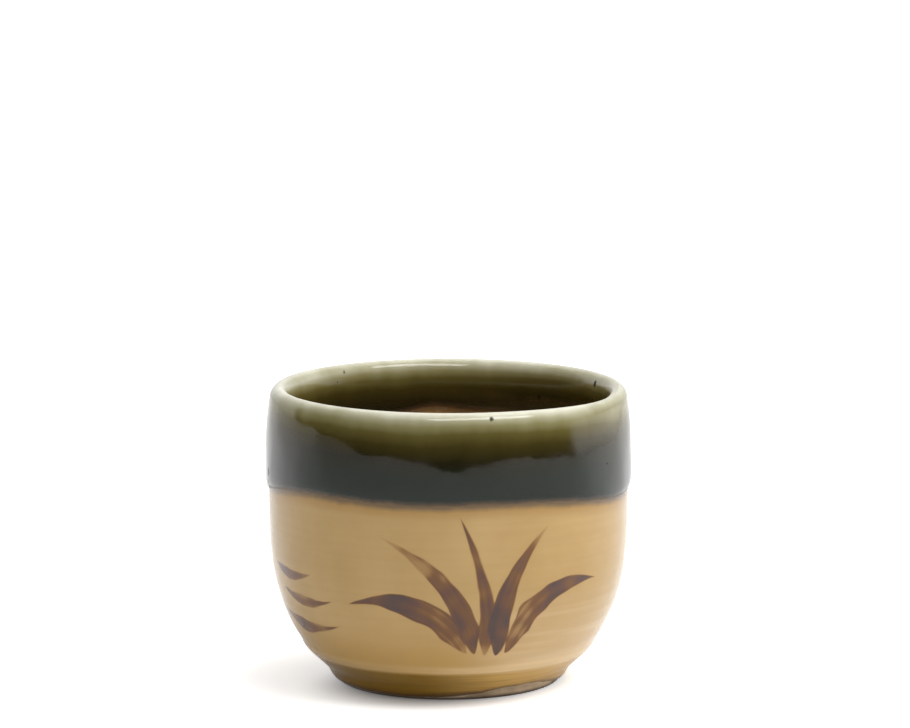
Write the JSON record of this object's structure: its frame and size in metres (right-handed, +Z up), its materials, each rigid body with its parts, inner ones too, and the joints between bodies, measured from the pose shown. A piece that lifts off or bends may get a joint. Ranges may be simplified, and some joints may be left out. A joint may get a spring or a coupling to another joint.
{
  "type": "sake cup",
  "caption": "Small round stoneware cup for sake: upright wall on a turned foot ring, amber glaze with a dark glaze dipped over the lip.",
  "frame": {"origin": "on the table, under the middle of the foot ring", "axes": "+Z up along the axis that the cup was thrown on; the painted front faces -Y"},
  "size_m": [0.0568, 0.0568, 0.0462],
  "materials": {
    "bare_clay": "matte",
    "amber_glaze": "satin",
    "olive_glaze": "gloss"
  },
  "bodies": {
    "root": {"clay_body": "bare_clay", "outer_glaze": "amber_glaze", "liner_glaze": "amber_glaze", "rim_glaze": "olive_glaze", "foot_well_glaze": "amber_glaze"}
  },
  "joints": []
}
